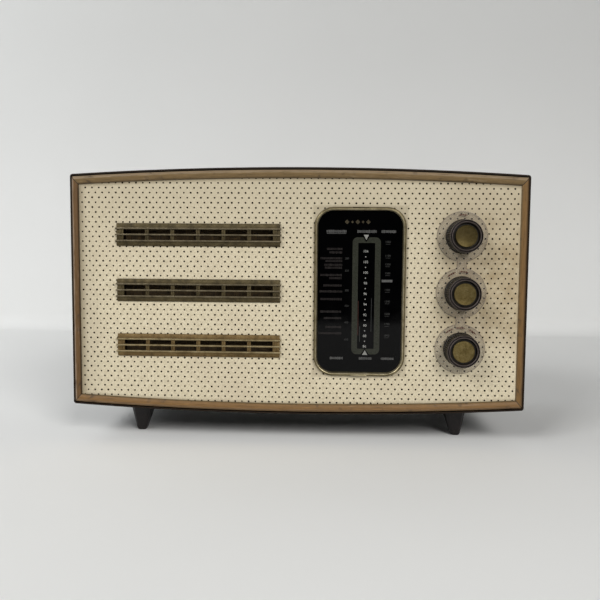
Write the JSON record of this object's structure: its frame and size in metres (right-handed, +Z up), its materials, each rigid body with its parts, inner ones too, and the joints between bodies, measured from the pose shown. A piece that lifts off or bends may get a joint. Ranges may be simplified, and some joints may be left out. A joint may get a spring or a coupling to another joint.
{
  "type": "table radio",
  "caption": "Valve table radio: bowed leathercloth cabinet with a wooden front moulding, perforated cream front, brass louvres, upright dial and ribbed knobs.",
  "frame": {"origin": "on the table under the middle of the set", "axes": "+X the listener's right, +Y towards the back, +Z up; the front faces -Y"},
  "size_m": [0.356, 0.166, 0.2149],
  "materials": {
    "plywood": "birch plywood, unfinished inside",
    "leathercloth": "near-black embossed leathercloth, satin",
    "walnut": "worn brown stained moulding, satin",
    "cream_vinyl": "aged cream vinyl cloth, perforated",
    "brown_cloth": "brown loudspeaker cloth",
    "brass": "tarnished gilt, satin",
    "black_glass": "back-painted black dial glass, glossy",
    "clear_plastic": "clear moulding, slightly yellowed",
    "black_plastic": "black phenolic moulding, glossy",
    "dark_foot": "dark brown-black lacquered wood",
    "fibreboard": "brown pressed fibreboard",
    "rubber": "black rubber",
    "steel": "dull plated steel",
    "grey_enamel": "dark grey-green paint",
    "valve_glass": "clear glass envelope",
    "speaker_paper": "dark pulp cone",
    "cord_fibre": "waxed dial cord",
    "paxolin": "brown laminate wafers",
    "drum_plastic": "ivory moulded drum",
    "pointer_white": "white painted pointer",
    "ferrite": "dark grey ferrite"
  },
  "bodies": {
    "cabinet": {"aerial_socket": "black_plastic", "back_cover": "fibreboard", "back_screw_left": "brass", "back_screw_right": "brass", "cabinet_bottom_panel": "plywood", "cabinet_left_panel": "plywood", "cabinet_right_panel": "plywood", "cabinet_top_panel": "plywood", "cable_grommet": "rubber", "chassis": "steel", "dial_backplate": "grey_enamel", "dial_bezel": "brass", "dial_glass": "black_glass", "drive_cord": "cord_fibre", "ferrite_rod_aerial": "ferrite", "frame_bottom_rail": "walnut", "frame_left_stile": "walnut", "frame_right_stile": "walnut", "frame_top_rail": "walnut", "front_baffle": "plywood", "front_covering": "cream_vinyl", "front_left_foot": "dark_foot", "front_right_foot": "dark_foot", "gang_frame": "steel", "if_can_first": "steel", "if_can_second": "steel", "knob_escutcheon": "clear_plastic", "leathercloth_wrap": "leathercloth", "loudspeaker_frame": "steel", "louvre_grille_bottom": "brass", "louvre_grille_middle": "brass", "louvre_grille_top": "brass", "mains_transformer": "steel", "output_transformer": "steel", "rear_left_foot": "dark_foot", "rear_right_foot": "dark_foot", "smoothing_capacitor": "steel", "speaker_cloth": "brown_cloth", "valve_if": "valve_glass", "valve_mixer": "valve_glass", "valve_output": "valve_glass", "valve_rectifier": "valve_glass", "vhf_tuner_can": "steel", "volume_control": "steel", "wave_change_switch": "paxolin"},
    "tuning": {"tuning_knob": "black_plastic", "tuning_knob_disc": "brass", "tuning_spindle": "steel"},
    "volume": {"volume_knob": "black_plastic", "volume_knob_disc": "brass", "volume_spindle": "steel"},
    "band": {"band_knob": "black_plastic", "band_knob_disc": "brass", "band_spindle": "steel"},
    "gang": {"drive_drum": "drum_plastic", "gang_rotor": "steel"},
    "pointer": {"dial_pointer": "pointer_white"},
    "upper_wheel": {"upper_pulley": "brass"},
    "lower_wheel": {"lower_pulley": "brass"},
    "cone": {"loudspeaker_cone": "speaker_paper"}
  },
  "joints": [
    {"name": "gang_turn", "type": "hinge", "parent": "cabinet", "child": "gang", "pos_m": [0.035, 0, 0.112], "axis": [0, 1, 0], "range_deg": [0, 180]},
    {"name": "tuning_turn", "type": "hinge", "parent": "cabinet", "child": "tuning", "pos_m": [0.1273, 0, 0.1624], "axis": [0, 1, 0], "range_deg": [0, 1620]},
    {"name": "pointer_slide", "type": "slide", "parent": "cabinet", "child": "pointer", "axis": [0, 0, -1], "range_m": [0, 0.0849]},
    {"name": "upper_pulley_turn", "type": "hinge", "parent": "cabinet", "child": "upper_wheel", "pos_m": [0.0825, 0, 0.173], "axis": [0, 1, 0], "range_deg": [-1080, 0]},
    {"name": "lower_pulley_turn", "type": "hinge", "parent": "cabinet", "child": "lower_wheel", "pos_m": [0.0735, 0, 0.062], "axis": [0, 1, 0], "range_deg": [0, 1080]},
    {"name": "volume_turn", "type": "hinge", "parent": "cabinet", "child": "volume", "pos_m": [0.1273, 0, 0.1189], "axis": [0, 1, 0], "range_deg": [0, 300]},
    {"name": "band_turn", "type": "hinge", "parent": "cabinet", "child": "band", "pos_m": [0.1273, 0, 0.0754], "axis": [0, 1, 0], "range_deg": [-30, 30]},
    {"name": "cone_travel", "type": "slide", "parent": "cabinet", "child": "cone", "axis": [0, 1, 0], "range_m": [-0.001, 0.001], "stiffness_N_per_m": 1000}
  ],
  "couplings": [
    {"joint": "tuning_turn", "follows": "gang_turn", "ratio": 9},
    {"joint": "pointer_slide", "follows": "gang_turn", "m_per_rad": 0.027},
    {"joint": "upper_pulley_turn", "follows": "gang_turn", "ratio": -6},
    {"joint": "lower_pulley_turn", "follows": "gang_turn", "ratio": 6}
  ]
}
